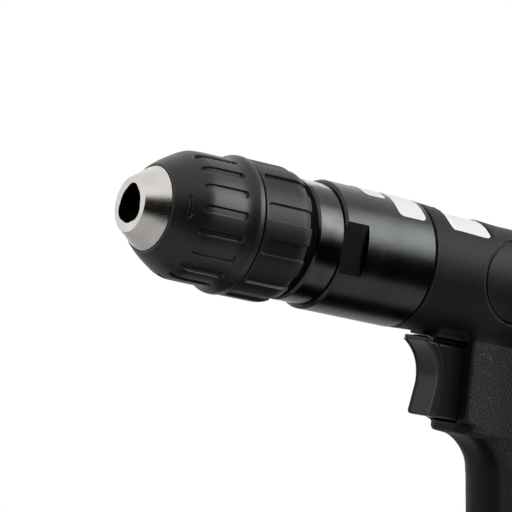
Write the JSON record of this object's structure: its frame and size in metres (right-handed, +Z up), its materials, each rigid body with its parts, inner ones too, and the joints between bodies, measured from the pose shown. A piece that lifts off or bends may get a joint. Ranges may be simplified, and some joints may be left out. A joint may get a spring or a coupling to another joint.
{
  "type": "air drill",
  "caption": "Pistol-grip air drill with a keyless chuck, a round gear case, a sliding trigger, a reverse lever and an exhaust at the base.",
  "frame": {"origin": "centre of the chuck's nose face, on the spindle's axis", "axes": "+X forward out of the nose, +Y to the tool's left, +Z up, away from the grip"},
  "size_m": [0.1822, 0.04, 0.148],
  "materials": {
    "housing_composite": "fine moulded grain",
    "sleeve_plastic": "fine moulded grain",
    "black_steel": "turned and blackened",
    "bright_steel": "turned and polished",
    "hard_steel": "ground",
    "brass": "turned",
    "rubber": "moulded",
    "trigger_plastic": "satin",
    "label_film": "printed film, left bare",
    "badge_plastic": "satin, left bare",
    "felt": "pressed felt",
    "blade_composite": "laminated",
    "plate_iron": "ground"
  },
  "bodies": {
    "housing": {"housing": "housing_composite", "gear_case": "black_steel", "bearing_cap": "black_steel", "joint_gasket": "rubber", "spindle_seal": "rubber", "ring_gear": "hard_steel", "ring_spacer": "hard_steel", "front_bearing_outer": "hard_steel", "rear_bearing_outer": "hard_steel", "spindle_bearing_balls": "bright_steel", "front_end_plate": "plate_iron", "motor_liner": "plate_iron", "rear_end_plate": "plate_iron", "liner_pin": "hard_steel", "rotor_bearing_outers": "hard_steel", "rotor_bearing_balls": "bright_steel", "motor_spring_washer": "hard_steel", "throttle_bushing": "brass", "throttle_spring": "hard_steel", "reverse_bushing": "brass", "inlet_bushing": "hard_steel", "inlet_screen": "brass", "muffler_felt": "felt", "small_label": "label_film", "case_label": "label_film", "housing_label": "label_film", "left_badge": "badge_plastic", "right_badge": "badge_plastic"},
    "spindle": {"spindle": "hard_steel", "planet_pins": "hard_steel", "front_bearing_inner": "hard_steel", "rear_bearing_inner": "hard_steel", "chuck_body": "bright_steel", "chuck_screw": "black_steel", "rear_sleeve": "sleeve_plastic", "chuck_rear_ring": "black_steel"},
    "front_sleeve": {"front_sleeve": "sleeve_plastic", "jaw_nut": "hard_steel", "nut_thrust_bearing": "bright_steel"},
    "jaw_1": {"jaw_1": "hard_steel"},
    "jaw_2": {"jaw_2": "hard_steel"},
    "jaw_3": {"jaw_3": "hard_steel"},
    "planet_gear_1": {"planet_gear_1": "hard_steel"},
    "planet_gear_2": {"planet_gear_2": "hard_steel"},
    "planet_gear_3": {"planet_gear_3": "hard_steel"},
    "rotor": {"rotor": "hard_steel", "rotor_blades": "blade_composite", "rotor_bearing_inners": "hard_steel"},
    "trigger": {"trigger": "trigger_plastic", "trigger_pin": "hard_steel", "throttle_stem": "brass", "stem_seal": "rubber"},
    "reverse_lever": {"reverse_lever": "trigger_plastic"},
    "exhaust_deflector": {"exhaust_deflector": "trigger_plastic"}
  },
  "joints": [
    {"name": "spindle_spin", "type": "hinge", "parent": "housing", "child": "spindle", "pos_m": [-0.06, 0, 0], "axis": [1, 0, 0], "continuous": true},
    {"name": "rotor_spin", "type": "hinge", "parent": "housing", "child": "rotor", "pos_m": [-0.12, 0, 0], "axis": [1, 0, 0], "continuous": true},
    {"name": "planet_1_spin", "type": "hinge", "parent": "spindle", "child": "planet_gear_1", "pos_m": [-0.0871, 0, 0.00743], "axis": [1, 0, 0], "continuous": true},
    {"name": "planet_2_spin", "type": "hinge", "parent": "spindle", "child": "planet_gear_2", "pos_m": [-0.0871, 0.00643, -0.00371], "axis": [1, 0, 0], "continuous": true},
    {"name": "planet_3_spin", "type": "hinge", "parent": "spindle", "child": "planet_gear_3", "pos_m": [-0.0871, -0.00643, -0.00371], "axis": [1, 0, 0], "continuous": true},
    {"name": "sleeve_turn", "type": "hinge", "parent": "spindle", "child": "front_sleeve", "pos_m": [-0.02, 0, 0], "axis": [-1, 0, 0], "range_deg": [0, 4170]},
    {"name": "jaw_1_slide", "type": "slide", "parent": "spindle", "child": "jaw_1", "axis": [0.9659, 0, -0.2588], "range_m": [0, 0.018]},
    {"name": "jaw_2_slide", "type": "slide", "parent": "spindle", "child": "jaw_2", "axis": [0.9659, -0.2241, 0.1294], "range_m": [0, 0.018]},
    {"name": "jaw_3_slide", "type": "slide", "parent": "spindle", "child": "jaw_3", "axis": [0.9659, 0.2241, 0.1294], "range_m": [0, 0.018]},
    {"name": "trigger_slide", "type": "slide", "parent": "housing", "child": "trigger", "axis": [-1, 0, 0], "range_m": [0, 0.006], "stiffness_N_per_m": 1500, "springref_m": -0.004, "deforming": ["throttle_spring"]},
    {"name": "reverse_swing", "type": "hinge", "parent": "housing", "child": "reverse_lever", "pos_m": [-0.138, 0, -0.02], "axis": [0, 0, 1], "range_deg": [-12, 12]},
    {"name": "deflector_turn", "type": "hinge", "parent": "housing", "child": "exhaust_deflector", "pos_m": [-0.16557, 0, -0.11205], "axis": [-0.225, 0, -0.9744], "continuous": true}
  ],
  "couplings": [
    {"joint": "rotor_spin", "follows": "spindle_spin", "ratio": 6},
    {"joint": "planet_1_spin", "follows": "spindle_spin", "ratio": -2.5},
    {"joint": "planet_2_spin", "follows": "spindle_spin", "ratio": -2.5},
    {"joint": "planet_3_spin", "follows": "spindle_spin", "ratio": -2.5},
    {"joint": "jaw_1_slide", "follows": "sleeve_turn", "m_per_rad": 0.00024732},
    {"joint": "jaw_2_slide", "follows": "sleeve_turn", "m_per_rad": 0.00024732},
    {"joint": "jaw_3_slide", "follows": "sleeve_turn", "m_per_rad": 0.00024732}
  ]
}
